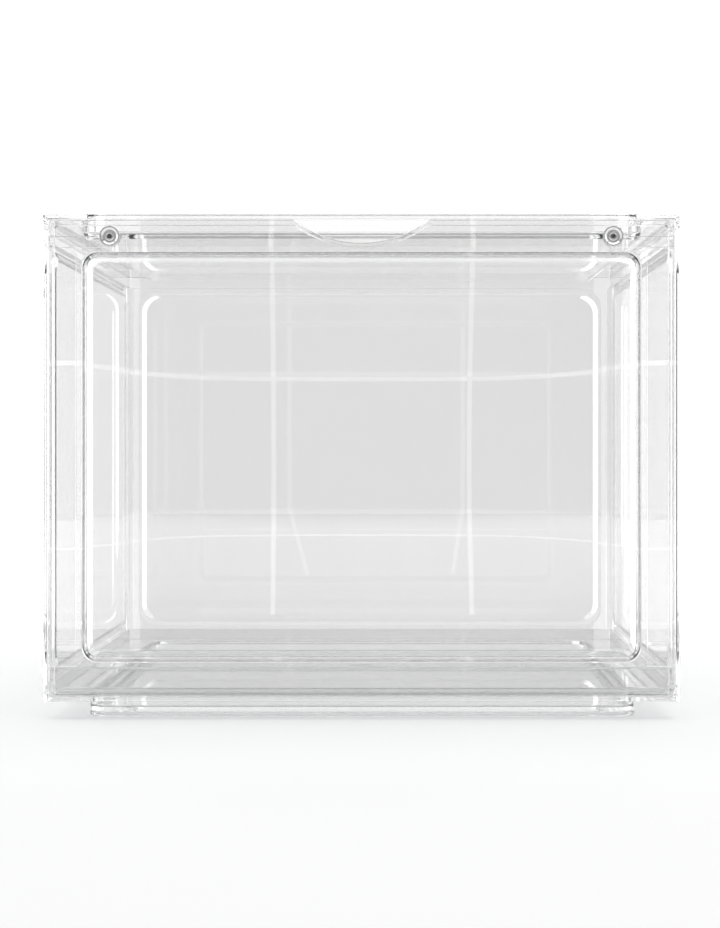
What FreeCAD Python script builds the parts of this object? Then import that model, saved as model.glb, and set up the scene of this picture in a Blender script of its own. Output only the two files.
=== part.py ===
import FreeCAD, Part
import os

# Clear flat-pack shoe box with a drop-front door, in millimetres.
# Origin: centre of the footprint, on the surface that the box stands on.
# +X to the right as seen from the front, +Z up. The door faces -Y.

# Driving dimensions
WIDTH = 280.0                  # across X, over the side walls
DEPTH = 360.0                  # along Y
BODY_HEIGHT = 214.2            # without the foot
FOOT_HEIGHT = 8.0              # sunken part of the floor, which nests in the box below
WALL = 2.0                     # wall thickness of the five panels
PANEL_GAP = 0.15               # clearance between panels that are pushed together
DOOR_GAP = 0.3                 # clearance round the door
DOOR_SKIN = 2.2                # thickness of the door's face
DOOR_RIM_DEPTH = 8.0           # how far the door's rim reaches back
DOOR_RIM_WALL = 2.4
STOP_SETBACK = 9.0             # front face of the frame that the door closes against
STOP_OPENING_HALF_X = 126.2    # square opening in that frame
STOP_OPENING_BOTTOM = 22.4
STOP_OPENING_TOP = 208.2
RECESS_HALF_X = 120.5          # recessed centre of the door
RECESS_BOTTOM = 27.7
RECESS_TOP = 203.2
RECESS_DEPTH = 4.0
RECESS_CORNER = 4.5
FOOT_HALF_X = 121.5
FOOT_HALF_Y = 165.7
FOOT_CORNER = 8.0
FOOT_EDGE = 1.2                # rounding of the foot's bottom edge
FOOT_FLOOR = 2.0               # underside of the sunken floor, inside the resting rim
STACK_CLEARANCE = 0.8          # sideways play of a foot in the recess below it
STACK_PLAY_Z = 0.2
MAGNET_BAR = 4.5               # thickness of the bar behind the door's top edge
SKIRT_HEIGHT = 4.8             # of the top panel's edge, below its plate
RAIL_HEIGHT = 6.0              # of the base panel's locating rails
TONGUE_BOTTOM = 209.0          # of the tongues inside the top panel's skirts
EMBOSS_DEPTH = 1.2             # inward step of the wall centres
EMBOSS_CORNER = 10.0
EMBOSS_BOTTOM = 18.6
EMBOSS_TOP = 207.0
EMBOSS_BACK_HALF_X = 130.5
EMBOSS_SIDE_Y = (-158.0, 170.0)
HINGE_RADIUS = 2.5             # moulded stub on the door
HINGE_SOCKET_PLAY = 0.06       # radial
HINGE_STUB = 1.3               # how far the stub stands out of the door
HINGE_BARREL = 3.2             # length of the stub inside the rim
NOTCH_RADIUS = 49.3            # thumb notch in the door's top edge
NOTCH_LIP = 1.6
NOTCH_DROP = 9.5               # from the rim's inner face to the lip's lowest point
MAGNET_X = 110.7
MAGNET_DROP = 7.4              # from the door's top edge to the rivets' axis
MAGNET_DIAMETER = 6.0
MAGNET_LENGTH = 3.0
MAGNET_PROUD = 0.2
WASHER_DIAMETER = 8.8
WASHER_SEAT_DIAMETER = 9.0
WASHER_SEAT_DEPTH = 0.7
RIVET_BOSS_DIAMETER = 8.6
RIVET_SHANK_DIAMETER = 3.0
RIVET_HOLE_DIAMETER = 3.1
RIVET_BORE_DIAMETER = 2.2
RIVET_COLLAR_DIAMETER = 4.1
RIVET_HEAD_DIAMETER = 7.0
RIVET_HEAD_THICKNESS = 0.8
RIVET_HEAD_GAP = 0.2           # between the closed door's rivet and its magnet
SILL_TAB_HALF_X = 4.85         # small tab in the middle of the sill
SILL_TAB_HEIGHT = 1.2

# Worked out from them
HALF_X = WIDTH / 2
HALF_Y = DEPTH / 2
BODY_BOTTOM = FOOT_HEIGHT
BODY_TOP = FOOT_HEIGHT + BODY_HEIGHT
PLATE_TOP = BODY_BOTTOM + WALL             # upper face of the base panel's plate
PLATE_UNDER = BODY_TOP - WALL              # lower face of the top panel's plate
INNER_X = HALF_X - WALL
INNER_Y = HALF_Y - WALL
FRONT = -HALF_Y
STOP_FRONT = FRONT + STOP_SETBACK
STOP_BACK = STOP_FRONT + WALL
BAR_BACK = STOP_FRONT + MAGNET_BAR
SKIRT_BOTTOM = PLATE_UNDER - SKIRT_HEIGHT
DOOR_HALF_X = INNER_X - DOOR_GAP
DOOR_BOTTOM = PLATE_TOP + DOOR_GAP
DOOR_TOP = PLATE_UNDER - DOOR_GAP
DOOR_BACK = FRONT + DOOR_RIM_DEPTH
SKIN_BACK = FRONT + DOOR_SKIN
HINGE_Y = FRONT + HINGE_RADIUS
HINGE_Z = DOOR_BOTTOM + HINGE_RADIUS
MAGNET_Z = DOOR_TOP - MAGNET_DROP
MAGNET_FACE = STOP_FRONT - MAGNET_PROUD
RIVET_BACK = MAGNET_FACE - RIVET_HEAD_GAP
NOTCH_CENTRE_Z = DOOR_TOP - DOOR_RIM_WALL - NOTCH_DROP + NOTCH_RADIUS + NOTCH_LIP

X_AXIS = FreeCAD.Vector(1, 0, 0)
Y_AXIS = FreeCAD.Vector(0, 1, 0)
Z_AXIS = FreeCAD.Vector(0, 0, 1)
ORIGIN = FreeCAD.Vector(0, 0, 0)


def block(x, y, z):
    """A box from three (low, high) spans."""
    corner = FreeCAD.Vector(x[0], y[0], z[0])
    return Part.makeBox(x[1] - x[0], y[1] - y[0], z[1] - z[0], corner)


def both_ways(half):
    return (-half, half)


def rounded_block(x, y, z, axis, radius):
    """A box whose four edges along the axis are rounded."""
    box = block(x, y, z)
    along = [e for e in box.Edges if abs(e.tangentAt(e.FirstParameter).dot(axis)) > 0.99]
    return box.makeFillet(radius, along)


def cylinder_y(x, z, radius, y):
    return Part.makeCylinder(radius, y[1] - y[0], FreeCAD.Vector(x, y[0], z), Y_AXIS)


def cylinder_x(y, z, radius, x):
    return Part.makeCylinder(radius, x[1] - x[0], FreeCAD.Vector(x[0], y, z), X_AXIS)


def turned(profile, x, z):
    """A solid turned about a line along Y, from (radius, y) points."""
    points = [FreeCAD.Vector(r, y, 0) for r, y in profile]
    face = Part.Face(Part.makePolygon(points + points[:1]))
    solid = face.revolve(ORIGIN, Y_AXIS, 360)
    solid.translate(FreeCAD.Vector(x, 0, z))
    return solid


def mirrored(shape):
    return shape.mirror(ORIGIN, X_AXIS)


def edges_at_z(shape, z):
    """The edges that lie in a level plane."""
    return [e for e in shape.Edges if abs(e.BoundBox.ZMin - z) < 1e-4 and abs(e.BoundBox.ZMax - z) < 1e-4]


def base_panel():
    """Plate with a sunken floor, a sill for the door and rails inside the walls."""
    inner_x = FOOT_HALF_X - WALL
    inner_y = FOOT_HALF_Y - WALL
    inner_corner = FOOT_CORNER - WALL
    edge_x = INNER_X - PANEL_GAP
    edge_y = INNER_Y - PANEL_GAP
    foot = rounded_block(
        both_ways(FOOT_HALF_X), both_ways(FOOT_HALF_Y), (0, PLATE_TOP), Z_AXIS, FOOT_CORNER
    )
    foot = foot.makeFillet(FOOT_EDGE, edges_at_z(foot, 0))
    hollow = rounded_block(
        both_ways(inner_x), both_ways(inner_y), (FOOT_FLOOR + WALL, PLATE_TOP + WALL), Z_AXIS, inner_corner
    )
    underside = rounded_block(
        both_ways(inner_x), both_ways(inner_y), (-WALL, FOOT_FLOOR), Z_AXIS, inner_corner
    )
    plate = block(both_ways(edge_x), (FRONT, edge_y), (BODY_BOTTOM, PLATE_TOP))
    sill = block(both_ways(edge_x), (STOP_FRONT, STOP_BACK), (PLATE_TOP, STOP_OPENING_BOTTOM))
    tab = block(
        both_ways(SILL_TAB_HALF_X),
        (STOP_FRONT, STOP_BACK),
        (STOP_OPENING_BOTTOM, STOP_OPENING_BOTTOM + SILL_TAB_HEIGHT),
    )
    rail_z = (PLATE_TOP, PLATE_TOP + RAIL_HEIGHT)
    side_rail = block((edge_x - WALL, edge_x), (STOP_FRONT, edge_y), rail_z)
    rear_rail = block(both_ways(edge_x), (edge_y - WALL, edge_y), rail_z)
    solid = plate.fuse([foot, sill, tab, side_rail, mirrored(side_rail), rear_rail])
    return solid.cut([hollow, underside])


def top_panel():
    """Plate with a sunken centre that takes the foot of the next box."""
    recess_x = FOOT_HALF_X + STACK_CLEARANCE
    recess_y = FOOT_HALF_Y + STACK_CLEARANCE
    recess_corner = FOOT_CORNER + STACK_CLEARANCE
    recess_floor = BODY_TOP - FOOT_HEIGHT - STACK_PLAY_Z
    recess = rounded_block(
        both_ways(recess_x), both_ways(recess_y), (recess_floor, BODY_TOP + WALL), Z_AXIS, recess_corner
    )
    dish = rounded_block(
        both_ways(recess_x + WALL),
        both_ways(recess_y + WALL),
        (recess_floor - WALL, BODY_TOP),
        Z_AXIS,
        recess_corner + WALL,
    )
    plate = block(both_ways(HALF_X), both_ways(HALF_Y), (PLATE_UNDER, BODY_TOP))
    bar = block(
        both_ways(INNER_X - PANEL_GAP), (STOP_FRONT, BAR_BACK), (STOP_OPENING_TOP, PLATE_UNDER)
    )
    skirt_z = (SKIRT_BOTTOM, PLATE_UNDER)
    side_skirt = block((INNER_X, HALF_X), both_ways(HALF_Y), skirt_z)
    rear_skirt = block(both_ways(HALF_X), (INNER_Y, HALF_Y), skirt_z)
    solid = plate.fuse([dish, bar, side_skirt, mirrored(side_skirt), rear_skirt])
    pockets = [
        cylinder_y(x, MAGNET_Z, MAGNET_DIAMETER / 2, (STOP_FRONT - WALL, MAGNET_FACE + MAGNET_LENGTH))
        for x in both_ways(MAGNET_X)
    ]
    return solid.cut([recess] + pockets)


def right_side_panel():
    """Wall with a stop flange in front, a tongue on top and a rib behind."""
    wall_x = (INNER_X, HALF_X)
    wall_top = SKIRT_BOTTOM - PANEL_GAP
    tongue_x = (INNER_X - PANEL_GAP - WALL, INNER_X - PANEL_GAP)
    rear_limit = INNER_Y - PANEL_GAP
    wall = block(wall_x, both_ways(HALF_Y), (BODY_BOTTOM, wall_top))
    pad = rounded_block(
        (INNER_X - EMBOSS_DEPTH, INNER_X + WALL / 2),
        EMBOSS_SIDE_Y,
        (EMBOSS_BOTTOM, EMBOSS_TOP),
        X_AXIS,
        EMBOSS_CORNER,
    )
    pocket = rounded_block(
        (HALF_X - EMBOSS_DEPTH, HALF_X + WALL),
        (EMBOSS_SIDE_Y[0] + EMBOSS_DEPTH, EMBOSS_SIDE_Y[1] - EMBOSS_DEPTH),
        (EMBOSS_BOTTOM + EMBOSS_DEPTH, EMBOSS_TOP - EMBOSS_DEPTH),
        X_AXIS,
        EMBOSS_CORNER - EMBOSS_DEPTH,
    )
    flange = block(
        (STOP_OPENING_HALF_X, INNER_X),
        (STOP_FRONT, STOP_BACK),
        (STOP_OPENING_BOTTOM + PANEL_GAP, STOP_OPENING_TOP - PANEL_GAP),
    )
    tongue_y = (BAR_BACK + PANEL_GAP, rear_limit - WALL - PANEL_GAP)
    tongue_foot = block((tongue_x[0], INNER_X), tongue_y, (TONGUE_BOTTOM, wall_top))
    tongue = block(tongue_x, tongue_y, (wall_top, PLATE_UNDER - PANEL_GAP))
    rib = block(
        (tongue_x[0] - WALL, INNER_X),
        (rear_limit - WALL, rear_limit),
        (PLATE_TOP + RAIL_HEIGHT + PANEL_GAP, TONGUE_BOTTOM - PANEL_GAP),
    )
    socket = cylinder_x(
        HINGE_Y,
        HINGE_Z,
        HINGE_RADIUS + HINGE_SOCKET_PLAY,
        (INNER_X - WALL, DOOR_HALF_X + HINGE_STUB + PANEL_GAP),
    )
    solid = wall.fuse([pad, flange, tongue_foot, tongue, rib])
    return solid.cut([pocket, socket])


def back_panel():
    """Wall with an embossed centre and a tongue on top."""
    half_x = INNER_X - PANEL_GAP
    tongue_half_x = half_x - WALL - PANEL_GAP
    wall_top = SKIRT_BOTTOM - PANEL_GAP
    tongue_y = (INNER_Y - PANEL_GAP - WALL, INNER_Y - PANEL_GAP)
    wall = block(both_ways(half_x), (INNER_Y, HALF_Y), (BODY_BOTTOM, wall_top))
    pad = rounded_block(
        both_ways(EMBOSS_BACK_HALF_X),
        (INNER_Y - EMBOSS_DEPTH, INNER_Y + WALL / 2),
        (EMBOSS_BOTTOM, EMBOSS_TOP),
        Y_AXIS,
        EMBOSS_CORNER,
    )
    pocket = rounded_block(
        both_ways(EMBOSS_BACK_HALF_X - EMBOSS_DEPTH),
        (HALF_Y - EMBOSS_DEPTH, HALF_Y + WALL),
        (EMBOSS_BOTTOM + EMBOSS_DEPTH, EMBOSS_TOP - EMBOSS_DEPTH),
        Y_AXIS,
        EMBOSS_CORNER - EMBOSS_DEPTH,
    )
    tongue_foot = block(both_ways(tongue_half_x), (tongue_y[0], INNER_Y), (TONGUE_BOTTOM, wall_top))
    tongue = block(both_ways(tongue_half_x), tongue_y, (wall_top, PLATE_UNDER - PANEL_GAP))
    solid = wall.fuse([pad, tongue_foot, tongue])
    return solid.cut([pocket])


def door():
    """Rimmed panel with a recessed centre, a thumb notch and two hinge stubs."""
    blank = block(both_ways(DOOR_HALF_X), (FRONT, DOOR_BACK), (DOOR_BOTTOM, DOOR_TOP))
    lower_front = [
        e
        for e in edges_at_z(blank, DOOR_BOTTOM)
        if abs(e.BoundBox.YMax - FRONT) < 1e-4
    ]
    blank = blank.makeFillet(HINGE_RADIUS, lower_front)
    notch = cylinder_y(0, NOTCH_CENTRE_Z, NOTCH_RADIUS, (FRONT - WALL, DOOR_BACK + WALL))
    notch_lip = cylinder_y(0, NOTCH_CENTRE_Z, NOTCH_RADIUS + NOTCH_LIP, (FRONT - WALL, DOOR_BACK + WALL))
    hollow = rounded_block(
        both_ways(DOOR_HALF_X - DOOR_RIM_WALL),
        (SKIN_BACK, DOOR_BACK + WALL),
        (DOOR_BOTTOM + DOOR_RIM_WALL, DOOR_TOP - DOOR_RIM_WALL),
        Y_AXIS,
        WALL,
    )
    hollow = hollow.cut(notch_lip)
    tray = rounded_block(
        both_ways(RECESS_HALF_X + DOOR_SKIN),
        (FRONT, FRONT + RECESS_DEPTH + DOOR_SKIN),
        (RECESS_BOTTOM - DOOR_SKIN, RECESS_TOP + DOOR_SKIN),
        Y_AXIS,
        RECESS_CORNER + DOOR_SKIN,
    )
    recess = rounded_block(
        both_ways(RECESS_HALF_X),
        (FRONT - WALL, FRONT + RECESS_DEPTH),
        (RECESS_BOTTOM, RECESS_TOP),
        Y_AXIS,
        RECESS_CORNER,
    )
    boss_y = (SKIN_BACK - DOOR_SKIN / 2, RIVET_BACK - RIVET_HEAD_THICKNESS)
    bosses = [cylinder_y(x, MAGNET_Z, RIVET_BOSS_DIAMETER / 2, boss_y) for x in both_ways(MAGNET_X)]
    seats = [
        cylinder_y(x, MAGNET_Z, WASHER_SEAT_DIAMETER / 2, (FRONT - WALL, FRONT + WASHER_SEAT_DEPTH))
        for x in both_ways(MAGNET_X)
    ]
    holes = [
        cylinder_y(x, MAGNET_Z, RIVET_HOLE_DIAMETER / 2, (FRONT - WALL, DOOR_BACK))
        for x in both_ways(MAGNET_X)
    ]
    stub = cylinder_x(
        HINGE_Y, HINGE_Z, HINGE_RADIUS, (DOOR_HALF_X - HINGE_BARREL, DOOR_HALF_X + HINGE_STUB)
    )
    solid = blank.cut([hollow]).fuse([tray] + bosses + [stub, mirrored(stub)])
    return solid.cut([notch, recess] + seats + holes)


def washer(x):
    """Dished steel washer with a rolled outer edge, level with the door's face."""
    rim = WASHER_DIAMETER / 2
    hole = RIVET_HOLE_DIAMETER / 2
    sheet = 0.3
    seat = FRONT + WASHER_SEAT_DEPTH
    profile = [
        (hole, seat - sheet),
        (rim - 1.5, seat - sheet),
        (rim - 0.8, FRONT + 0.05),
        (rim - 0.3, FRONT),
        (rim, FRONT + 0.25),
        (rim, seat),
        (hole, seat),
    ]
    return turned(profile, x, MAGNET_Z)


def rivet(x):
    """Hollow steel rivet: rolled collar in front, flat head behind."""
    bore = RIVET_BORE_DIAMETER / 2
    shank = RIVET_SHANK_DIAMETER / 2
    collar = RIVET_COLLAR_DIAMETER / 2
    head = RIVET_HEAD_DIAMETER / 2
    collar_seat = FRONT + WASHER_SEAT_DEPTH - 0.35
    head_seat = RIVET_BACK - RIVET_HEAD_THICKNESS
    profile = [
        (bore, FRONT + 0.15),
        (bore + 0.25, FRONT),
        (collar - 0.35, FRONT),
        (collar, FRONT + 0.2),
        (collar, collar_seat),
        (shank, collar_seat),
        (shank, head_seat),
        (head, head_seat),
        (head, RIVET_BACK - 0.2),
        (head - 0.2, RIVET_BACK),
        (bore, RIVET_BACK),
    ]
    return turned(profile, x, MAGNET_Z)


def magnet(x):
    """Disc magnet pressed into the bar, its edges broken."""
    disc = cylinder_y(x, MAGNET_Z, MAGNET_DIAMETER / 2, (MAGNET_FACE, MAGNET_FACE + MAGNET_LENGTH))
    rims = [e for e in disc.Edges if e.Closed]
    return disc.makeChamfer(0.2, rims)


nodes = {
    "base_panel": base_panel(),
    "top_panel": top_panel(),
    "right_side_panel": right_side_panel(),
    "left_side_panel": mirrored(right_side_panel()),
    "back_panel": back_panel(),
    "door": door(),
}
for side, x in (("left", -MAGNET_X), ("right", MAGNET_X)):
    nodes["washer_" + side] = washer(x)
    nodes["rivet_" + side] = rivet(x)
    nodes["magnet_" + side] = magnet(x)

os.makedirs("parts", exist_ok=True)
for name, shape in nodes.items():
    solid = shape.removeSplitter()
    if len(solid.Solids) != 1 or not solid.isValid():
        raise RuntimeError(name + " isn't one valid solid")
    solid.Solids[0].exportStep("parts/" + name + ".step")
    box = solid.BoundBox
    print(
        "%-17s %9.0f mm3  X %.2f..%.2f  Y %.2f..%.2f  Z %.2f..%.2f"
        % (name, solid.Volume, box.XMin, box.XMax, box.YMin, box.YMax, box.ZMin, box.ZMax)
    )
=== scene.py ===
import math

import bmesh
import bpy
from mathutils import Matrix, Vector


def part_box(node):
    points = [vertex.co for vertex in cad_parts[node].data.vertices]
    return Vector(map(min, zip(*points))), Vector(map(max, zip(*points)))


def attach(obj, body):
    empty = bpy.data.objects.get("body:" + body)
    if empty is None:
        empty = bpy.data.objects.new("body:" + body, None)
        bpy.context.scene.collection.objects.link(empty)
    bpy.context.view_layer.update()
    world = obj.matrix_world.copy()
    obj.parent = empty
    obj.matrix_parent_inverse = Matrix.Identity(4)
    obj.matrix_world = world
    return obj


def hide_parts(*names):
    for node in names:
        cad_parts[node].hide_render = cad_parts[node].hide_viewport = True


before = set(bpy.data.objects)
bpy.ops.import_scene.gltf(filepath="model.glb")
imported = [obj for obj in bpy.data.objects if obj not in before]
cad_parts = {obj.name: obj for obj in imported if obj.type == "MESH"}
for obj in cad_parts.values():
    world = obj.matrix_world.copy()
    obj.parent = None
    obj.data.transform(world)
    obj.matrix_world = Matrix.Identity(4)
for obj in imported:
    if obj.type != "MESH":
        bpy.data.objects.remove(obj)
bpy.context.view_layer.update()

# Driving sizes that the frame's boxes don't give, in metres
MM = 0.001
WALL = 2.0 * MM
PANEL_GAP = 0.15 * MM
EDGE_ROUND = 0.25 * MM            # moulded outer edges
FLAT_WIDTH = 1.0 * MM             # wider faces than this are shaded flat
DOOR_SKIN = 2.2 * MM
DOOR_RIM_WALL = 2.4 * MM
DOOR_BOTTOM_ROUND = 2.5 * MM      # same centre as the hinge stubs
RECESS_DEPTH = 4.0 * MM
RECESS_INSET_SIDE = 17.2 * MM     # from the door's outer edge to the recess
RECESS_INSET_TOP = 16.7 * MM
RECESS_INSET_BOTTOM = 17.4 * MM
RECESS_CORNER = 4.5 * MM
RECESS_DRAFT = 0.25 * MM
RECESS_TOE = 2.2 * MM             # large rounding at the foot of the recess wall
CENTRE_BOW = 0.45 * MM            # the moulded centre bulges this much
NOTCH_RADIUS = 49.3 * MM
NOTCH_LIP = 1.6 * MM
NOTCH_DROP = 9.5 * MM
EMBOSS_DEPTH = 1.2 * MM
EMBOSS_CORNER = 10.0 * MM
EMBOSS_SLOPE = 2.0 * MM           # the step is spread over this width
SKIRT_HEIGHT = 4.8 * MM
RAIL_HEIGHT = 6.0 * MM
RIVET_BOSS_RADIUS = 4.3 * MM
WASHER_SEAT_RADIUS = 4.5 * MM
WASHER_SEAT_DEPTH = 0.7 * MM
RIVET_HOLE_RADIUS = 1.55 * MM
SILL_TAB_HALF = 4.85 * MM
SILL_TAB_HEIGHT = 1.2 * MM
EMBOSS_BOTTOM = 18.6 * MM         # heights above the ground
EMBOSS_TOP = 207.0 * MM
EMBOSS_Y = (170.0 * MM, -158.0 * MM)      # rear and front ends on a side wall
EMBOSS_HALF = 130.5 * MM          # half-width on the rear wall
TONGUE_BOTTOM = 209.0 * MM
STOP_SETBACK = 9.0 * MM           # the stop frame stands this far behind the front edge
BAR_THICKNESS = 4.5 * MM
FOOT_HALF = (121.5 * MM, 165.7 * MM)
FOOT_CORNER = 8.0 * MM
FOOT_FLOOR = 2.0 * MM
STACK_CLEARANCE = 0.8 * MM
ROOF_RECESS = 8.2 * MM            # depth of the stacking recess
HINGE_RADIUS = 2.5 * MM
HINGE_STUB = 1.3 * MM             # a stub's length beyond the door's side
STUB_RADIUS = 2.18 * MM
SOCKET_PLAY = 0.06 * MM
HINGE_BARREL = 3.2 * MM
DISH_DEPTH = 0.64 * MM            # hollow of the washer
DISH_FLOOR_RADIUS = 2.8 * MM
DISH_RADIUS = 3.8 * MM
RIVET_BORE = 1.1 * MM
RIVET_COLLAR = 2.05 * MM
RIVET_COLLAR_HEIGHT = 0.6 * MM
RIVET_HEAD = 0.8 * MM             # thickness of the head behind

# Mesh fineness
DOOR_SIDE_STEPS = 84
NOTCH_STEPS = 60
EDGE_STEPS = 3
ROUND_SHARE = 0.48                # a round takes at most this share of a run
SHARP_ANGLE = math.radians(40)    # edges sharper than this are eased
FLAT_ANGLE = math.radians(0.05)
GRID_DIGITS = 7
LOFT_WELD = 2e-6
CUT_WELD = 1.5e-6
TINY_EDGE = 1e-7
CUT_POINT = (0, 0, 0.1)           # inside the box, where the panels' cutting planes meet

# Looks
CLEAR_IOR = 1.58
FACE_TINT_WITH_SHADE = (0.85, 0.865)         # door, floor and back wall: the plastic's faint tint, made darker than on the roof and sides as painted shade
FRAME_TINT = (0.945, 0.955)       # roof and sides
SHADOW_TINT = (0.86, 0.87, 0.87)  # light let through by one clear surface
FLOOR_DARK = (0.92, 0.92, 0.92)
FLOOR_LIGHT = (0.93, 0.93, 0.93)

# Studio
CAMERA_AT = (0.0165, -1.4027, 0.122)
CAMERA_SHIFT = (-0.042, -0.0237)
CAMERA_LENS = 108.0
CAMERA_SENSOR = 36.0
ROOM_HALF = 3.3
ROOM_TOP = 3.2
WALL_REACH = 0.7 * ROOM_HALF      # half-width of the front and side walls
CEILING_HALF = 2.6
CEILING_GAP_HALF = 0.9            # the unlit middle of the ceiling
FLOOR_HALF = 6.0
WALL_GLOW = 1.12
CEILING_GLOW = 1.5
FRONT_PANEL_GLOW = 0.35
FRONT_JOINT_GLOW = 1.3
FLOOR_JOINT_GLOW = 2.1
FRONT_JOINTS_X = (-0.182, 0.132)
FRONT_JOINT_Z = 0.245
JOINT_HALF = 0.0040
JOINTS_MEET = (0.0165, 1.04)      # where the floor joints would cross
FLOOR_JOINT_Y = -2.1
FLOOR_JOINT_HALF = 0.025
FLOOR_JOINTS_START = -0.75
WALL_OFFSET = 0.01                # wall joints stand this far in front of their wall
BACK_ZONES = (                    # from, to and glow of the bright zones beside the back wall's middle
    (-0.42, -0.52, 1.28),
    (-0.52, -2.31, 1.9),
    (0.345, 0.40, 1.28),
    (0.40, 2.31, 2.25),
)
SIDE_GLOW = 1.6
FLOOR_ZONE_START = 0.22           # glowing floor zones, painted light on the floor, run from here to the back wall
GAP_GLOW = 0.3
PATH_LENGTH = 64                  # light runs far along the inside of the clear walls


# ---------------------------------------------------------------- mesh tools
def lerp(a, b, t):
    """The value a share t of the way from a to b."""
    return a + (b - a) * t


def path_with_rounds(corners, steps):
    """Points along a profile of (inset, depth, plan radius, round) corners, with each corner rounded."""
    made = [corners[0][:3]]
    for before, here, after in zip(corners, corners[1:], corners[2:]):
        q = Vector(here[:2])
        a, b = Vector(before[:2]) - q, Vector(after[:2]) - q
        length_a, length_b = a.length, b.length
        a.normalize()
        b.normalize()
        half = math.acos(max(-1.0, min(1.0, a.dot(b)))) / 2
        radius = here[3]
        if radius <= 0 or math.cos(half) < 1e-3:
            made.append(here[:3])
            continue
        back = min(radius / math.tan(half), ROUND_SHARE * length_a, ROUND_SHARE * length_b)
        radius = back * math.tan(half)
        centre = q + (a + b).normalized() * (radius / math.sin(half))
        start, end = q + a * back - centre, q + b * back - centre
        sweep = start.angle(end)
        for k in range(steps + 1):
            t = k / steps
            spoke = (start * math.sin((1 - t) * sweep) + end * math.sin(t * sweep)) / math.sin(sweep)
            point = centre + spoke
            if t < 0.5:
                side, share = before, back / length_a * (1 - 2 * t)
            else:
                side, share = after, back / length_b * (2 * t - 1)
            made.append((point.x, point.y, lerp(here[2], side[2], share)))
    made.append(corners[-1][:3])
    return made


def four(value):
    """One value for each of four sides."""
    return value if isinstance(value, tuple) else (value,) * 4


def profile_rings(corners, steps=5):
    """Rings of (right, top, left, bottom) edges from corners of (edges, depth, plan radius, round)."""
    paths = []
    for side, sign in enumerate((1, 1, -1, -1)):
        outline = []
        for edges, depth, radius, turn in corners:
            outline.append((sign * edges[side], depth, radius, four(turn)[side]))
        paths.append(path_with_rounds(outline, steps))
    rings = []
    for points in zip(*paths):
        edges = tuple(sign * p[0] for sign, p in zip((1, 1, -1, -1), points))
        rings.append((edges, tuple(p[1] for p in points), sum(p[2] for p in points) / 4))
    return rings


def ring_loop(ring, side_steps=1, corner_steps=8):
    """A closed loop of (u, v, depth) points round one ring."""
    (right, top, left, bottom), depths, radius = ring
    radius = max(1e-7, min(radius, (right - left) / 2.01, (top - bottom) / 2.01))
    turns = (
        (right - radius, bottom + radius, -90, 3, 0),
        (right - radius, top - radius, 0, 0, 1),
        (left + radius, top - radius, 90, 1, 2),
        (left + radius, bottom + radius, 180, 2, 3),
    )
    loop = []
    for index, (u, v, start, before, after) in enumerate(turns):
        for k in range(corner_steps + 1):
            angle = math.radians(start + 90 * k / corner_steps)
            depth = lerp(depths[before], depths[after], k / corner_steps)
            loop.append((u + radius * math.cos(angle), v + radius * math.sin(angle), depth))
        next_u, next_v, next_start = turns[(index + 1) % 4][:3]
        angle = math.radians(next_start)
        end = (next_u + radius * math.cos(angle), next_v + radius * math.sin(angle), depths[after])
        begin = loop[-1]
        for k in range(1, side_steps):
            loop.append(tuple(lerp(b, e, k / side_steps) for b, e in zip(begin, end)))
    return loop


def mesh_object(name, bm):
    """An object in the scene with the mesh built in bm."""
    bmesh.ops.recalc_face_normals(bm, faces=bm.faces)
    for face in bm.faces:
        face.smooth = True
    mesh = bpy.data.meshes.new(name)
    bm.to_mesh(mesh)
    bm.free()
    made = bpy.data.objects.new(name, mesh)
    bpy.context.scene.collection.objects.link(made)
    return made


def snapped(point):
    """The point on a fine grid, so that faces meant to meet do so exactly."""
    return tuple(round(c, GRID_DIGITS) for c in point)


def loft(name, rings):
    """A closed skin through rings of points, with its first and last ring filled."""
    bm = bmesh.new()
    rows = [[bm.verts.new(snapped(p)) for p in ring] for ring in rings]
    for row, after in zip(rows, rows[1:]):
        for k in range(len(row)):
            n = (k + 1) % len(row)
            bm.faces.new((row[k], row[n], after[n], after[k]))
    bm.faces.new(rows[0])
    bm.faces.new(rows[-1])
    bmesh.ops.remove_doubles(bm, verts=bm.verts, dist=LOFT_WELD)
    bmesh.ops.dissolve_degenerate(bm, edges=bm.edges, dist=TINY_EDGE)
    return mesh_object(name, bm)


def box(low, high):
    """A plain block between two corners."""
    (x0, y0, z0), (x1, y1, z1) = low, high
    rings = [[(x0, y0, z), (x1, y0, z), (x1, y1, z), (x0, y1, z)] for z in (z0, z1)]
    return loft("operand", rings)


def rod(axis, centre, radius, low, high, segments=64):
    """A cylinder along axis 0 (X) or 1 (Y), between two places on it."""
    rings = []
    for place in (low, high):
        ring = []
        for k in range(segments):
            angle = 2 * math.pi * k / segments
            p = [0.0, 0.0, 0.0]
            p[axis] = place
            p[1 - axis] = centre[0] + radius * math.cos(angle)
            p[2] = centre[1] + radius * math.sin(angle)
            ring.append(p)
        rings.append(ring)
    return loft("operand", rings)


def combined(target, joined=(), cut=(), merge_flats=True):
    """Target with the joined operands added and the cut ones taken away."""
    for operands, operation in ((joined, "UNION"), (cut, "DIFFERENCE")):
        for operand in operands:
            step = target.modifiers.new("combine", "BOOLEAN")
            step.object = operand
            step.operation = operation
            step.solver = "EXACT"
            view = bpy.context.evaluated_depsgraph_get()
            mesh = bpy.data.meshes.new_from_object(target.evaluated_get(view), depsgraph=view)
            target.modifiers.clear()
            target.data = cleaned(mesh, merge_flats)
            bpy.data.objects.remove(operand)
    return target


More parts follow.
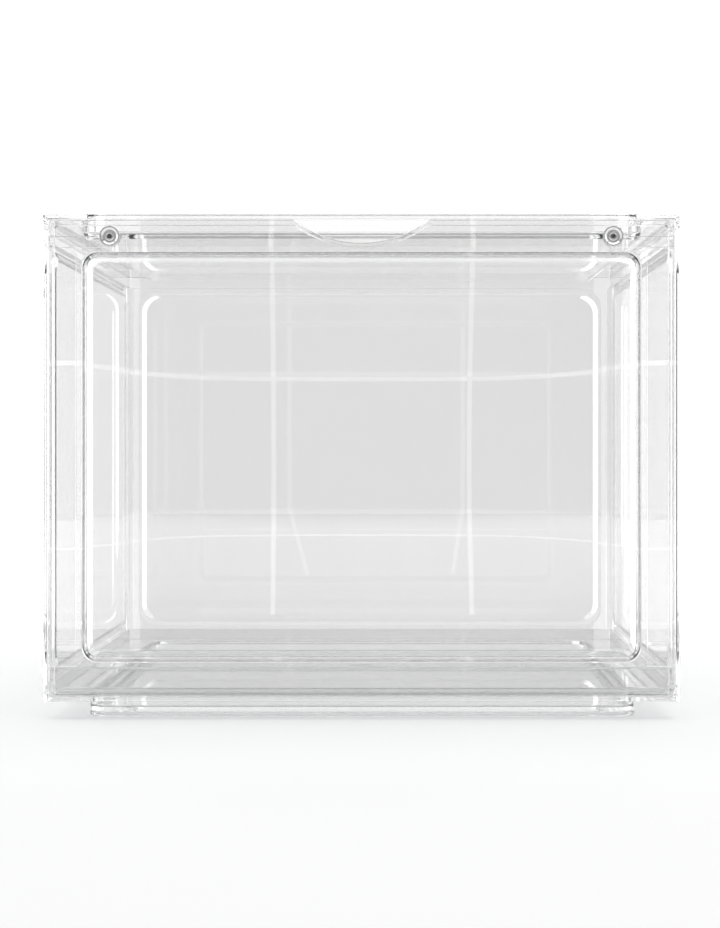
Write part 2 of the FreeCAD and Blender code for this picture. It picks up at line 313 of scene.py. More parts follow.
def cleaned(mesh, merge_flats):
    """The mesh with slivers closed up and, if asked, flat areas made of as few faces as they need."""
    bm = bmesh.new()
    bm.from_mesh(mesh)
    bmesh.ops.remove_doubles(bm, verts=bm.verts, dist=CUT_WELD)
    bmesh.ops.dissolve_degenerate(bm, edges=bm.edges, dist=TINY_EDGE)
    if merge_flats:
        bmesh.ops.dissolve_limit(bm, angle_limit=FLAT_ANGLE, verts=bm.verts, edges=bm.edges)
    for vert in bm.verts:
        vert.co = snapped(vert.co)
    for face in bm.faces:
        face.smooth = True
    bm.to_mesh(mesh)
    bm.free()
    return mesh


def eased(target):
    """Rounds what is left of the sharp edges."""
    bevel = target.modifiers.new("eased_edges", "BEVEL")
    bevel.width = EDGE_ROUND
    bevel.segments = EDGE_STEPS
    bevel.limit_method = "ANGLE"
    bevel.angle_limit = SHARP_ANGLE
    bevel.use_clamp_overlap = False
    bevel.miter_outer = "MITER_ARC"
    view = bpy.context.evaluated_depsgraph_get()
    mesh = bpy.data.meshes.new_from_object(target.evaluated_get(view), depsgraph=view)
    target.modifiers.clear()
    target.data = quartered(mesh)
    return target


def quartered(mesh):
    """The mesh cut along three planes, so that no face closes on itself round a hole."""
    bm = bmesh.new()
    bm.from_mesh(mesh)
    for normal in ((1, 0, 0), (0, 1, 0), (0, 0, 1)):
        everything = bm.verts[:] + bm.edges[:] + bm.faces[:]
        bmesh.ops.bisect_plane(bm, geom=everything, plane_co=CUT_POINT, plane_no=normal)
    bm.to_mesh(mesh)
    bm.free()
    return mesh


def shaded(target):
    """Sets shading in which flat faces look flat and roundings look round."""
    target.data.normals_split_custom_set(corner_normals(target.data))
    return target


def is_flat(mesh, face):
    """True for a face square to an axis that is wider than any facet of a rounding."""
    points = [mesh.vertices[v].co for v in face.vertices]
    outline = sum((a - b).length for a, b in zip(points, points[1:] + points[:1]))
    return max(abs(c) for c in face.normal) > 0.999999 and 2 * face.area / outline > FLAT_WIDTH


def corner_normals(mesh):
    """Flat faces keep their own normal, and roundings blend into the flat faces beside them."""
    faces = mesh.polygons
    flat = [is_flat(mesh, face) for face in faces]
    around = [[] for _ in mesh.vertices]
    for face in faces:
        for v in face.vertices:
            around[v].append(face.index)
    normals = []
    for face in faces:
        for v in face.vertices:
            near = [faces[k] for k in around[v] if faces[k].normal.dot(face.normal) > 0.7]
            level = [other for other in near if flat[other.index]]
            if flat[face.index]:
                normals.append(face.normal.copy())
            elif level:
                normals.append(max(level, key=lambda other: other.area).normal.copy())
            else:
                normals.append(sum((other.normal * other.area for other in near), Vector()).normalized())
    return normals


def lathe(name, profile, centre_x, centre_z, segments=96):
    """A turned piece about a line along Y, from a closed (radius, y) outline."""
    bm = bmesh.new()
    rows = []
    for k in range(segments):
        angle = 2 * math.pi * k / segments
        right, up = math.cos(angle), math.sin(angle)
        rows.append([bm.verts.new((centre_x + r * right, y, centre_z + r * up)) for r, y in profile])
    count = len(profile)
    for k in range(segments):
        row, after = rows[k], rows[(k + 1) % segments]
        for j in range(count):
            n = (j + 1) % count
            bm.faces.new((row[j], row[n], after[n], after[j]))
    return mesh_object(name, bm)


def closed_outline(corners, steps=6):
    """A closed (radius, y) outline whose (radius, y, round) corners are rounded."""
    count = len(corners)
    outline = []
    for index in range(count):
        triple = [corners[(index + step) % count] for step in (-1, 0, 1)]
        padded = [(r, y, 0.0, turn) for r, y, turn in triple]
        outline += [(r, y) for r, y, _ in path_with_rounds(padded, steps)[1:-1]]
    return outline


# ---------------------------------------------------------------- the clear panels
def edges_of(half_u, half_v):
    """The (right, top, left, bottom) edges of a centred rectangle."""
    return (half_u, half_v, -half_u, -half_v)


def shrunk(edges, share):
    """The same rectangle drawn in towards its centre."""
    right, top, left, bottom = edges
    u, v = (right + left) / 2, (top + bottom) / 2
    return (lerp(u, right, share), lerp(v, top, share), lerp(u, left, share), lerp(v, bottom, share))


def inset(edges, by):
    """The same rectangle with every edge moved inwards."""
    right, top, left, bottom = edges
    return (right - by, top - by, left + by, bottom + by)


def finish_panel(piece, node, body, material):
    """Hangs a clear panel on its body in place of its solid."""
    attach(piece, body)
    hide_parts(node)
    piece.data.materials.clear()
    piece.data.materials.append(material)
    return shaded(piece)


# Places that follow from the frame
door_low, door_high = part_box("door")
top_low, top_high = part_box("top_panel")
base_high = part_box("base_panel")[1]
side_low, side_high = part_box("right_side_panel")
back_low, back_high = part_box("back_panel")
rivet_low, rivet_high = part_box("rivet_right")
washer_low, washer_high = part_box("washer_right")
magnet_low, magnet_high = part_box("magnet_right")

FRONT = side_low.y
REAR = side_high.y
HALF_X = side_high.x
INNER_X = HALF_X - WALL
BODY_BOTTOM = side_low.z
PLATE_TOP = BODY_BOTTOM + WALL
BODY_TOP = top_high.z
PLATE_UNDER = BODY_TOP - WALL
SKIRT_BOTTOM = PLATE_UNDER - SKIRT_HEIGHT
WALL_TOP = SKIRT_BOTTOM - PANEL_GAP
STOP_OPENING_HALF = side_low.x
STOP_OPENING_TOP = top_low.z
STOP_OPENING_BOTTOM = base_high.z - SILL_TAB_HEIGHT
STOP_FRONT = FRONT + STOP_SETBACK
STOP_BACK = STOP_FRONT + WALL
BAR_BACK = STOP_FRONT + BAR_THICKNESS
RECESS_FLOOR = BODY_TOP - ROOF_RECESS
HINGE_Y = FRONT + HINGE_RADIUS
HINGE_Z = door_low.z + HINGE_RADIUS
DOOR_HALF = door_high.x - HINGE_STUB
DOOR_DEPTH = door_high.y - door_low.y
MAGNET_X = (magnet_low.x + magnet_high.x) / 2
MAGNET_Z = (magnet_low.z + magnet_high.z) / 2


def notch_centre():
    """Height of the centre of the thumb notch's arcs."""
    return door_high.z - DOOR_RIM_WALL - NOTCH_DROP + NOTCH_RADIUS + NOTCH_LIP


def with_notch(loop, ring, notch_radius, corner_steps):
    """Moves the points of a ring's top side onto the thumb notch."""
    top = ring[0][1]
    first = 2 * (corner_steps + 1) + DOOR_SIDE_STEPS - 1
    last = first + DOOR_SIDE_STEPS - 1
    begin, end = loop[first - 1][0], loop[last][0]
    reach = math.sqrt(notch_radius ** 2 - (notch_centre() - top) ** 2)
    straight = (DOOR_SIDE_STEPS - NOTCH_STEPS) // 2
    for k in range(1, DOOR_SIDE_STEPS):
        if k <= straight:
            u = lerp(begin, reach, k / straight)
        elif k < straight + NOTCH_STEPS:
            u = lerp(reach, -reach, (k - straight) / NOTCH_STEPS)
        else:
            u = lerp(-reach, end, (k - straight - NOTCH_STEPS) / straight)
        inside = abs(u) < reach
        v = notch_centre() - math.sqrt(notch_radius ** 2 - u ** 2) if inside else top
        loop[first + k - 1] = (u, min(v, top), loop[first + k - 1][2])
    return loop


def door_shell():
    """Rimmed skin with a recessed, slightly bowed centre."""
    outer = (DOOR_HALF, door_high.z, -DOOR_HALF, door_low.z)
    lip = (
        DOOR_HALF - RECESS_INSET_SIDE,
        door_high.z - RECESS_INSET_TOP,
        -DOOR_HALF + RECESS_INSET_SIDE,
        door_low.z + RECESS_INSET_BOTTOM,
    )
    toe = inset(lip, RECESS_DRAFT)
    behind = inset(lip, -DOOR_SKIN)
    behind_toe = inset(toe, RECESS_DRAFT - DOOR_SKIN * 0.8)
    front_round = (EDGE_ROUND, EDGE_ROUND, EDGE_ROUND, DOOR_BOTTOM_ROUND)
    rim_fillet = (0.7 * MM, 0.7 * MM, 0.7 * MM, 1.6 * MM)
    back = RECESS_DEPTH + DOOR_SKIN
    shares = [k / 16 for k in range(1, 16)]
    corners = [(shrunk(inset(toe, 4 * MM), s), RECESS_DEPTH, RECESS_CORNER * s, 0) for s in shares]
    corners += [
        (toe, RECESS_DEPTH, RECESS_CORNER - RECESS_DRAFT, RECESS_TOE),
        (lip, 0, RECESS_CORNER, 0.4 * MM),
        (outer, 0, 0.6 * MM, front_round),
        (inset(outer, 0.12 * MM), DOOR_DEPTH, 0.6 * MM, 0.3 * MM),
        (inset(outer, DOOR_RIM_WALL - 0.25 * MM), DOOR_DEPTH, 2 * MM, 0.3 * MM),
        (inset(outer, DOOR_RIM_WALL), DOOR_SKIN, 2 * MM, rim_fillet),
        (behind, DOOR_SKIN, RECESS_CORNER + DOOR_SKIN, 0.8 * MM),
        (behind_toe, back, RECESS_CORNER + DOOR_SKIN, 1.8 * MM),
    ]
    corners += [
        (shrunk(inset(toe, 4 * MM), s), back, RECESS_CORNER * s, 0) for s in reversed(shares)
    ]
    middle_v = (toe[1] + toe[3]) / 2
    rings = []
    corner_steps = 8
    for ring in profile_rings(corners, steps=6):
        loop = ring_loop(ring, DOOR_SIDE_STEPS, corner_steps)
        depth_in = min(outer[0] - ring[0][0], outer[1] - ring[0][1])
        if depth_in <= DOOR_RIM_WALL + 1.2 * MM:
            radius = NOTCH_RADIUS + depth_in * NOTCH_LIP / DOOR_RIM_WALL
            loop = with_notch(loop, ring, radius, corner_steps)
        points = []
        for u, v, depth in loop:
            across = max(0.0, 1 - (u / toe[0]) ** 4)
            along = max(0.0, 1 - ((v - middle_v) / (toe[1] - middle_v)) ** 2)
            points.append((u, FRONT + depth - CENTRE_BOW * across * along, v))
        rings.append(points)
    shell = loft("door_shell", rings)
    boss_back = rivet_high.y - 0.9 * MM
    joined, cut = [], []
    for side in (-1, 1):
        spot = (side * MAGNET_X, MAGNET_Z)
        stub_from = DOOR_HALF - HINGE_BARREL
        ends = sorted((side * stub_from, side * (DOOR_HALF + HINGE_STUB)))
        joined.append(rod(1, spot, RIVET_BOSS_RADIUS, FRONT + DOOR_SKIN / 2, boss_back))
        joined.append(rod(0, (HINGE_Y, HINGE_Z), STUB_RADIUS, *ends, segments=48))
        cut.append(rod(1, spot, WASHER_SEAT_RADIUS, FRONT - WALL, FRONT + WASHER_SEAT_DEPTH))
        cut.append(rod(1, spot, RIVET_HOLE_RADIUS, FRONT - WALL, door_high.y))
    return combined(shell, joined, cut, merge_flats=False)


def panel_from(name, corners, place):
    """A panel lofted through its profile, with place(u, v, w) giving each point."""
    rings = [[place(*p) for p in ring_loop(ring)] for ring in profile_rings(corners)]
    return loft(name, rings)


def top_shell():
    """Roof plate with its stacking recess, skirts and magnet bar."""
    outer = (HALF_X, REAR, -HALF_X, FRONT)
    recess = edges_of(FOOT_HALF[0] + STACK_CLEARANCE, FOOT_HALF[1] + STACK_CLEARANCE)
    corner = FOOT_CORNER + STACK_CLEARANCE
    around = inset(recess, -WALL)
    corners = [
        (shrunk(recess, 0.05), RECESS_FLOOR, corner, 0),
        (recess, RECESS_FLOOR, corner, 1.5 * MM),
        (recess, BODY_TOP, corner, 0.6 * MM),
        (outer, BODY_TOP, 0, 0),
        (outer, PLATE_UNDER, 0, 0),
        (around, PLATE_UNDER, corner + WALL, 1.0 * MM),
        (around, RECESS_FLOOR - WALL, corner + WALL, 2.4 * MM),
        (shrunk(recess, 0.05), RECESS_FLOOR - WALL, corner, 0),
    ]
    shell = panel_from("top_shell", corners, lambda u, v, w: (u, v, w))
    inside = PLATE_UNDER + WALL / 2
    bar_half = INNER_X - PANEL_GAP
    joined = [
        box((INNER_X, FRONT, SKIRT_BOTTOM), (HALF_X, REAR, inside)),
        box((-HALF_X, FRONT, SKIRT_BOTTOM), (-INNER_X, REAR, inside)),
        box((-HALF_X, REAR - WALL, SKIRT_BOTTOM), (HALF_X, REAR, inside)),
        box((-bar_half, STOP_FRONT, STOP_OPENING_TOP), (bar_half, BAR_BACK, RECESS_FLOOR - WALL / 2)),
        box((-bar_half, STOP_FRONT, RECESS_FLOOR - WALL), (bar_half, BAR_BACK - WALL / 2, inside)),
    ]
    radius = (magnet_high.x - magnet_low.x) / 2 + 0.05 * MM
    cut = [
        rod(1, (side * MAGNET_X, MAGNET_Z), radius, STOP_FRONT - WALL, magnet_high.y + 0.1 * MM)
        for side in (-1, 1)
    ]
    return eased(combined(shell, joined, cut))


def round_topped(low_x, high_x, low_z, high_z, thinner=0.0):
    """A stop wall along X with a rounded upper edge."""
    front, back = STOP_FRONT + thinner, STOP_BACK - thinner
    turn = WALL * 0.42
    corners = (
        (back, low_z, 0, 0),
        (back, high_z, 0, turn),
        (front, high_z, 0, turn),
        (front, low_z, 0, 0),
    )
    profile = path_with_rounds(corners, 8)
    return loft("operand", [[(x, y, z) for y, z, _ in profile] for x in (low_x, high_x)])


def base_shell():
    """Floor with its sunken foot, the sill and the locating rails."""
    edge_x, edge_y = base_high.x, base_high.y
    outer = (edge_x, edge_y, -edge_x, FRONT)
    foot = edges_of(*FOOT_HALF)
    well = inset(foot, WALL)
    inner_corner = FOOT_CORNER - WALL
    corners = [
        (shrunk(well, 0.05), FOOT_FLOOR + WALL, inner_corner, 0),
        (well, FOOT_FLOOR + WALL, inner_corner, 1.2 * MM),
        (well, PLATE_TOP, inner_corner, 0.8 * MM),
        (outer, PLATE_TOP, 0, 0),
        (outer, BODY_BOTTOM, 0, 0),
        (foot, BODY_BOTTOM, FOOT_CORNER, 0.7 * MM),
        (foot, 0, FOOT_CORNER, 1.2 * MM),
        (well, 0, inner_corner, 0.3 * MM),
        (well, FOOT_FLOOR, inner_corner, 0.4 * MM),
        (shrunk(well, 0.05), FOOT_FLOOR, inner_corner, 0),
    ]
    shell = panel_from("base_shell", corners, lambda u, v, w: (u, v, w))
    inside = PLATE_TOP - WALL / 2
    rail_top = PLATE_TOP + RAIL_HEIGHT
    tab_top = STOP_OPENING_BOTTOM + SILL_TAB_HEIGHT
    joined = [
        round_topped(-edge_x, edge_x, inside, STOP_OPENING_BOTTOM),
        box((edge_x - WALL, STOP_FRONT, inside), (edge_x, edge_y, rail_top)),
        box((-edge_x, STOP_FRONT, inside), (-edge_x + WALL, edge_y, rail_top)),
        box((-edge_x, edge_y - WALL, inside), (edge_x, edge_y, rail_top)),
    ]
    tab_from = STOP_OPENING_BOTTOM - 2 * SILL_TAB_HEIGHT
    tab = round_topped(-SILL_TAB_HALF, SILL_TAB_HALF, tab_from, tab_top, thinner=0.05 * MM)
    return combined(eased(combined(shell, joined)), [tab])


def embossed(outer, field, corner, outside, inside_sign):
    """Profile of a wall whose centre steps inwards, from its outer face round to its inner one."""
    step = inside_sign * EMBOSS_DEPTH
    inner = outside + inside_sign * WALL
    pocket = inset(field, EMBOSS_DEPTH)
    return [
        (shrunk(pocket, 0.05), outside + step, corner, 0),
        (inset(pocket, EMBOSS_SLOPE), outside + step, corner - EMBOSS_DEPTH, 2.5 * MM),
        (pocket, outside, corner - EMBOSS_DEPTH, 2.5 * MM),
        (outer, outside, 0, 0),
        (outer, inner, 0, 0),
        (field, inner, corner, 2.5 * MM),
        (inset(field, EMBOSS_SLOPE), inner + step, corner, 2.5 * MM),
        (shrunk(pocket, 0.05), inner + step, corner, 0),
    ]


def side_shell(side):
    """Side wall: +1 right, -1 left."""
    outer = (REAR, WALL_TOP, FRONT, BODY_BOTTOM)
    field = (EMBOSS_Y[0], EMBOSS_TOP, EMBOSS_Y[1], EMBOSS_BOTTOM)
    corners = embossed(outer, field, EMBOSS_CORNER, HALF_X, -1)
    name = "right_side_shell" if side > 0 else "left_side_shell"
    shell = panel_from(name, corners, lambda u, v, w: (side * w, u, v))
    edge_x = INNER_X - PANEL_GAP
    rear = back_low.y + WALL
    middle_x = HALF_X - WALL / 2
    tongue_y = (BAR_BACK + PANEL_GAP, rear - WALL - PANEL_GAP)

    def part(x, y, z):
        """A block given for the right wall, mirrored for the left one."""
        low, high = sorted((side * x[0], side * x[1]))
        return box((low, y[0], z[0]), (high, y[1], z[1]))

    joined = [
        part(
            (STOP_OPENING_HALF, middle_x),
            (STOP_FRONT, STOP_BACK),
            (STOP_OPENING_BOTTOM + PANEL_GAP, STOP_OPENING_TOP - PANEL_GAP),
        ),
        part((edge_x - WALL, middle_x), tongue_y, (TONGUE_BOTTOM, WALL_TOP)),
        part((edge_x - WALL, edge_x), tongue_y, (WALL_TOP - WALL, side_high.z)),
        part(
            (edge_x - 2 * WALL, middle_x),
            (rear - WALL, rear),
            (PLATE_TOP + RAIL_HEIGHT + PANEL_GAP, TONGUE_BOTTOM - PANEL_GAP),
        ),
    ]
    socket_end = DOOR_HALF + HINGE_STUB + PANEL_GAP
    ends = sorted((side * (INNER_X - WALL), side * socket_end))
    socket = rod(0, (HINGE_Y, HINGE_Z), STUB_RADIUS + SOCKET_PLAY, *ends, segments=48)
    return combined(eased(combined(shell, joined)), cut=[socket])


def back_shell():
    """Rear wall with its embossed centre and the tongue under the roof."""
    half = back_high.x
    outer = (half, WALL_TOP, -half, BODY_BOTTOM)
    field = (EMBOSS_HALF, EMBOSS_TOP, -EMBOSS_HALF, EMBOSS_BOTTOM)
    corners = embossed(outer, field, EMBOSS_CORNER, REAR, -1)
    shell = panel_from("back_shell", corners, lambda u, v, w: (u, w, v))
    tongue_half = half - WALL - PANEL_GAP
    tongue_low, tongue_high = back_low.y, back_low.y + WALL
    joined = [
        box((-tongue_half, tongue_low, TONGUE_BOTTOM), (tongue_half, REAR - WALL / 2, WALL_TOP)),
        box((-tongue_half, tongue_low, WALL_TOP - WALL), (tongue_half, tongue_high, back_high.z)),
    ]
    return eased(combined(shell, joined))


# ---------------------------------------------------------------- the metal pieces
def washer(name, centre_x):
    """Dished washer with a rolled rim, its hollow towards the front."""
    front, back = washer_low.y, washer_high.y
    outer = (washer_high.x - washer_low.x) / 2
    hole = RIVET_HOLE_RADIUS + 0.05 * MM
    edge = 0.05 * MM
    outline = [
        (hole, front + DISH_DEPTH - 0.02 * MM, 0.02 * MM),
        (DISH_FLOOR_RADIUS, front + DISH_DEPTH, 0.1 * MM),
        (DISH_RADIUS, front, 0.15 * MM),
        (outer - edge, front, 0.04 * MM),
        (outer, front + edge, 0.02 * MM),
        (outer, back, 0.1 * MM),
        (hole, back, 0.05 * MM),
    ]
    return lathe(name, closed_outline(outline), centre_x, MAGNET_Z)


def rivet(name, centre_x):
    """Tubular rivet: rolled collar in front, shank, and a thin head behind."""
    front, back = rivet_low.y, rivet_high.y
    head = (rivet_high.x - rivet_low.x) / 2
    shank = RIVET_HOLE_RADIUS - 0.05 * MM
    outline = [
        (RIVET_BORE, front + 0.1 * MM, 0.3 * MM),
        (RIVET_BORE + 0.35 * MM, front, 0.25 * MM),
        (RIVET_COLLAR, front + 0.02 * MM, 0.35 * MM),
        (RIVET_COLLAR - 0.1 * MM, front + RIVET_COLLAR_HEIGHT - 0.02 * MM, 0.02 * MM),
        (shank, front + RIVET_COLLAR_HEIGHT, 0.02 * MM),
        (shank, back - RIVET_HEAD, 0.05 * MM),
        (head, back - RIVET_HEAD, 0.3 * MM),
        (head, back, 0.25 * MM),
        (RIVET_BORE, back, 0.15 * MM),
    ]
    return lathe(name, closed_outline(outline), centre_x, MAGNET_Z)


def magnet(name, centre_x):
    """Plated disc with a small round on both rims."""
    radius = (magnet_high.x - magnet_low.x) / 2
    front, back = magnet_low.y, magnet_high.y
    rim = 0.25 * MM
    outline = [(1e-6, front, 0), (radius, front, rim), (radius, back, rim), (1e-6, back, 0)]
    return lathe(name, closed_outline(outline), centre_x, MAGNET_Z)


# ---------------------------------------------------------------- materials
def new_material(name):
    """An empty node material with its nodes and links."""
    material = bpy.data.materials.new(name)
    material.use_nodes = True
    nodes = material.node_tree.nodes
    nodes.clear()
    return material, nodes, material.node_tree.links


def grain(nodes, links, scale, stretch=(1, 1, 1), detail=3.0):
    """Noise in the piece's own metres."""
    place = nodes.new("ShaderNodeTexCoord")
    mapping = nodes.new("ShaderNodeMapping")
    mapping.inputs["Scale"].default_value = stretch
    noise = nodes.new("ShaderNodeTexNoise")
    noise.inputs["Scale"].default_value = scale
    noise.inputs["Detail"].default_value = detail
    links.new(place.outputs["Object"], mapping.inputs["Vector"])
    links.new(mapping.outputs["Vector"], noise.inputs["Vector"])
    return noise.outputs["Fac"]


def ramp(nodes, links, source, low, high):
    """Maps a noise's middle range onto low..high."""
    span = nodes.new("ShaderNodeMapRange")
    span.inputs["From Min"].default_value = 0.3
    span.inputs["From Max"].default_value = 0.7
    span.inputs["To Min"].default_value = low
    span.inputs["To Max"].default_value = high
    links.new(source, span.inputs["Value"])
    return span.outputs["Result"]


def tone(nodes, links, source, dark, light):
    """Colours between dark and light, led by a noise."""
    colours = nodes.new("ShaderNodeValToRGB")
    colours.color_ramp.elements[0].position = 0.3
    colours.color_ramp.elements[0].color = (*dark, 1)
    colours.color_ramp.elements[1].position = 0.7
    colours.color_ramp.elements[1].color = (*light, 1)
    links.new(source, colours.inputs["Fac"])
    return colours.outputs["Color"]


def bump(nodes, links, source, distance, strength, under=None):
    """A fine relief, laid over another one if given."""
    step = nodes.new("ShaderNodeBump")
    step.inputs["Distance"].default_value = distance
    step.inputs["Strength"].default_value = strength
    links.new(source, step.inputs["Height"])
    if under is not None:
        links.new(under, step.inputs["Normal"])
    return step.outputs["Normal"]


def clear_plastic(name, tints):
    """Injection-moulded clear plastic: slow mould waviness, faint handling marks."""
    material, nodes, links = new_material(name)
    shader = nodes.new("ShaderNodeBsdfPrincipled")
    shader.inputs["IOR"].default_value = CLEAR_IOR
    shader.inputs["Transmission Weight"].default_value = 1.0
    # Tint from a noise between the given levels; the darker levels of the door, floor and back wall are
    # painted shade
    tint = tone(nodes, links, grain(nodes, links, 9.0), *[(level,) * 3 for level in tints])
    links.new(tint, shader.inputs["Base Color"])
    haze = ramp(nodes, links, grain(nodes, links, 30.0, detail=6.0), 0.0, 0.012)
    links.new(haze, shader.inputs["Roughness"])
    waves = bump(nodes, links, grain(nodes, links, 22.0, detail=1.0), 0.4 * MM, 0.007)
    marks = grain(nodes, links, 260.0, stretch=(1, 1, 0.12), detail=4.0)
    links.new(bump(nodes, links, marks, 0.02 * MM, 0.006, waves), shader.inputs["Normal"])
    path = nodes.new("ShaderNodeLightPath")
    through = nodes.new("ShaderNodeBsdfTransparent")
    through.inputs["Color"].default_value = (*SHADOW_TINT, 1)
    mix = nodes.new("ShaderNodeMixShader")
    output = nodes.new("ShaderNodeOutputMaterial")
    links.new(path.outputs["Is Shadow Ray"], mix.inputs["Fac"])
    links.new(shader.outputs["BSDF"], mix.inputs[1])
    links.new(through.outputs["BSDF"], mix.inputs[2])
    links.new(mix.outputs["Shader"], output.inputs["Surface"])
    return material


def metal(name, dark, light, smooth, rough, scratch):
    """Plated metal with uneven polish and fine scratches."""
    material, nodes, links = new_material(name)
    shader = nodes.new("ShaderNodeBsdfPrincipled")
    shader.inputs["Metallic"].default_value = 1.0
    links.new(tone(nodes, links, grain(nodes, links, 900.0), dark, light), shader.inputs["Base Color"])
    polish = ramp(nodes, links, grain(nodes, links, 1500.0, detail=5.0), smooth, rough)
    links.new(polish, shader.inputs["Roughness"])
    lines = grain(nodes, links, 4000.0, stretch=(1, 1, 0.1), detail=4.0)
    links.new(bump(nodes, links, lines, 0.01 * MM, scratch), shader.inputs["Normal"])
    output = nodes.new("ShaderNodeOutputMaterial")
    links.new(shader.outputs["BSDF"], output.inputs["Surface"])
    return material


def glowing(name, strength):
    """White light panel."""
    material, nodes, links = new_material(name)
    shader = nodes.new("ShaderNodeEmission")
    shader.inputs["Color"].default_value = (1, 1, 1, 1)
    shader.inputs["Strength"].default_value = strength
    output = nodes.new("ShaderNodeOutputMaterial")
    links.new(shader.outputs["Emission"], output.inputs["Surface"])
    return material


def floor_material():
    """Pale matt floor with a barely uneven tone."""
    material, nodes, links = new_material("pale_floor")
    shader = nodes.new("ShaderNodeBsdfPrincipled")
    shader.inputs["Roughness"].default_value = 0.9
    shader.inputs["Specular IOR Level"].default_value = 0.0
    pale = tone(nodes, links, grain(nodes, links, 1.5), FLOOR_DARK, FLOOR_LIGHT)
    links.new(pale, shader.inputs["Base Color"])
    output = nodes.new("ShaderNodeOutputMaterial")
    links.new(shader.outputs["BSDF"], output.inputs["Surface"])
    return material


# ---------------------------------------------------------------- the room
def sheet(name, corners, material):
    """A flat stage panel through four corners."""
    mesh = bpy.data.meshes.new(name)
    mesh.from_pydata(corners, [], [(0, 1, 2, 3)])
    made = bpy.data.objects.new(name, mesh)
    bpy.context.scene.collection.objects.link(made)
    made.data.materials.append(material)
    return made


def level_corners(x0, y0, x1, y1, z):
    """The corners of a level rectangle."""
    return [(x0, y0, z), (x1, y0, z), (x1, y1, z), (x0, y1, z)]


def upright(name, axis, place, low, high, bottom, top, material):
    """A stage panel standing across axis 0 (X) or 1 (Y) at a place on it."""
    corners = []
    for along, z in ((low, bottom), (high, bottom), (high, top), (low, top)):
        p = [0.0, 0.0, z]
        p[axis], p[1 - axis] = place, along
        corners.append(p)
    return sheet(name, corners, material)


def unseen(made):
    """Hides a bright joint from direct sight and keeps its light off the floor; it still casts a shadow."""
    made.visible_camera = False
    made.visible_diffuse = False


def floor_joint(name, x, material):
    """A strip on the floor that carries a wall joint on towards the box."""
    corners = []
    for y, order in ((FLOOR_JOINTS_START, (-1, 1)), (-ROOM_HALF, (1, -1))):
        share = (JOINTS_MEET[1] - y) / (JOINTS_MEET[1] + ROOM_HALF)
        middle = lerp(JOINTS_MEET[0], x, share)
        corners += [(middle + sign * JOINT_HALF * share, y, MM) for sign in order]
    unseen(sheet(name, corners, material))


def back_zone(name, start, end, glow):
    """A bright upright zone of the back wall, and a glowing floor sheet that leads up to it: painted light
    on the floor.
    """
    light = glowing(name, glow)
    upright(name, 1, ROOM_HALF, min(start, end), max(start, end), 0, ROOM_TOP, light)
    share = (ROOM_HALF - FLOOR_ZONE_START) / (ROOM_HALF - CAMERA_AT[1])
    near_start, near_end = [lerp(x, CAMERA_AT[0], share) for x in (start, end)]
    corners = [
        (near_start, FLOOR_ZONE_START, MM),
        (near_end, FLOOR_ZONE_START, MM),
        (end, ROOM_HALF, MM),
        (start, ROOM_HALF, MM),
    ]
    # The floor sheet glows with the wall zone's light: painted light on the floor, drawn in towards the
    # camera
    sheet(name + "_floor", corners, light)


def plain_walls():
    """Back wall in zones, and the two side walls."""
    wall = glowing("wall_light", WALL_GLOW)
    side = glowing("side_light", SIDE_GLOW)
    upright("wall_back", 1, ROOM_HALF, BACK_ZONES[0][0], BACK_ZONES[2][0], 0, ROOM_TOP, wall)
    for index, zone in enumerate(BACK_ZONES):
        back_zone("back_zone_%d" % index, *zone)
    upright("wall_right", 0, ROOM_HALF, -WALL_REACH, WALL_REACH, 0, ROOM_TOP, side)
    upright("wall_left", 0, -ROOM_HALF, -WALL_REACH, WALL_REACH, 0, ROOM_TOP, side)


def jointed_wall():
    """Dim wall in front of the box, its bright joints, and the joints of the floor."""
    panel = glowing("front_panels", FRONT_PANEL_GLOW)
    joint = glowing("front_joints", FRONT_JOINT_GLOW)
    on_floor = glowing("floor_joints", FLOOR_JOINT_GLOW)
    upright("wall_front", 1, -ROOM_HALF, -WALL_REACH, WALL_REACH, 0, ROOM_TOP, panel)
    place = -ROOM_HALF + WALL_OFFSET
    for index, x in enumerate(FRONT_JOINTS_X):
        name = "front_joint_%d" % index
        unseen(upright(name, 1, place, x - JOINT_HALF, x + JOINT_HALF, 0, ROOM_TOP, joint))
        floor_joint("floor_joint_%d" % index, x, on_floor)
    low, high = FRONT_JOINT_Z - JOINT_HALF, FRONT_JOINT_Z + JOINT_HALF
    unseen(upright("front_joint_across", 1, place, -WALL_REACH, WALL_REACH, low, high, joint))
    near, away = FLOOR_JOINT_Y + FLOOR_JOINT_HALF, FLOOR_JOINT_Y - FLOOR_JOINT_HALF
    across = level_corners(-WALL_REACH, away, WALL_REACH, near, MM)
    unseen(sheet("floor_joint_across", across, on_floor))


def ceiling():
    """Four glowing strips round an unlit middle."""
    lamp = glowing("ceiling_light", CEILING_GLOW)
    half, gap = CEILING_HALF, CEILING_GAP_HALF
    strips = (
        (-half, -half, half, -gap),
        (-half, gap, half, half),
        (-half, -gap, -gap, gap),
        (gap, -gap, half, gap),
    )
    for index, strip in enumerate(strips):
        sheet("ceiling_%d" % index, level_corners(*strip, ROOM_TOP), lamp)


def surroundings():
    """Dim light from whatever lies past the gaps of the room."""
    world = bpy.data.worlds.new("dim_surroundings")
    world.use_nodes = True
    background = world.node_tree.nodes["Background"]
    background.inputs["Color"].default_value = (1, 1, 1, 1)
    background.inputs["Strength"].default_value = GAP_GLOW
    bpy.context.scene.world = world


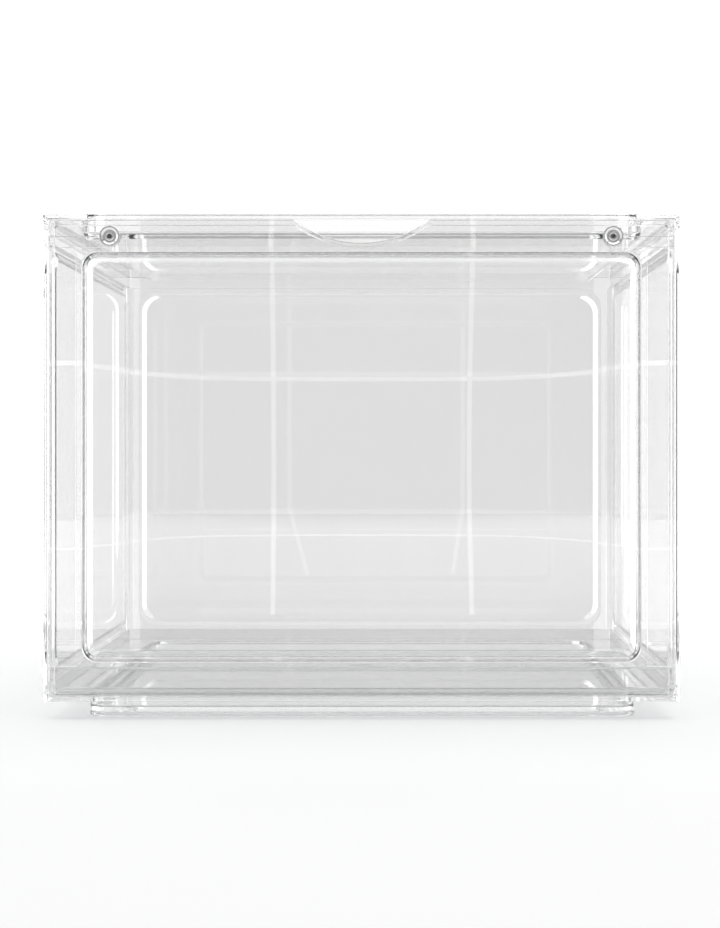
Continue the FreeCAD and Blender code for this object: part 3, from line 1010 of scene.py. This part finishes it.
def room():
    """The studio round the box: walls, ceiling and floor."""
    plain_walls()
    jointed_wall()
    ceiling()
    sheet("floor", level_corners(-FLOOR_HALF, -FLOOR_HALF, FLOOR_HALF, FLOOR_HALF, 0), floor_material())
    surroundings()


def camera():
    """Level camera in front of the door."""
    data = bpy.data.cameras.new("camera")
    data.lens = CAMERA_LENS
    data.sensor_width = CAMERA_SENSOR
    data.shift_x = CAMERA_SHIFT[0]
    data.shift_y = CAMERA_SHIFT[1]
    data.clip_start = 0.05
    made = bpy.data.objects.new("camera", data)
    bpy.context.scene.collection.objects.link(made)
    made.location = CAMERA_AT
    made.rotation_euler = (math.radians(90), 0, 0)
    bpy.context.scene.camera = made


# ---------------------------------------------------------------- assembly
# One clear plastic in two tints: the darker one, on the door, floor and back wall, is painted shade
faces = clear_plastic("clear_faces_painted_shade", FACE_TINT_WITH_SHADE)
frames = clear_plastic("clear_frame", FRAME_TINT)
steel = metal("plated_steel", (0.78, 0.78, 0.79), (0.88, 0.88, 0.89), 0.10, 0.22, 0.15)
nickel = metal("nickel_plate", (0.62, 0.60, 0.57), (0.72, 0.70, 0.67), 0.12, 0.25, 0.1)

panels = (
    (door_shell(), "door", "door", faces),
    (top_shell(), "top_panel", "box", frames),
    (base_shell(), "base_panel", "box", faces),
    (side_shell(1), "right_side_panel", "box", frames),
    (side_shell(-1), "left_side_panel", "box", frames),
    (back_shell(), "back_panel", "box", faces),
)
for piece, node, body, material in panels:
    finish_panel(piece, node, body, material)

for side, sign in (("right", 1), ("left", -1)):
    fittings = (
        (washer("washer_metal_" + side, sign * MAGNET_X), "washer_" + side, "door", "steel", steel),
        (rivet("rivet_metal_" + side, sign * MAGNET_X), "rivet_" + side, "door", "steel", steel),
        (magnet("magnet_metal_" + side, sign * MAGNET_X), "magnet_" + side, "box", "nickel", nickel),
    )
    for piece, node, body, slot, material in fittings:
        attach(piece, body)
        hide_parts(node)
        piece.data.materials.append(material)

room()
camera()
scene = bpy.context.scene
scene.view_settings.view_transform = "Standard"
for limit in ("max_bounces", "glossy_bounces", "transmission_bounces", "transparent_max_bounces"):
    setattr(scene.cycles, limit, PATH_LENGTH)
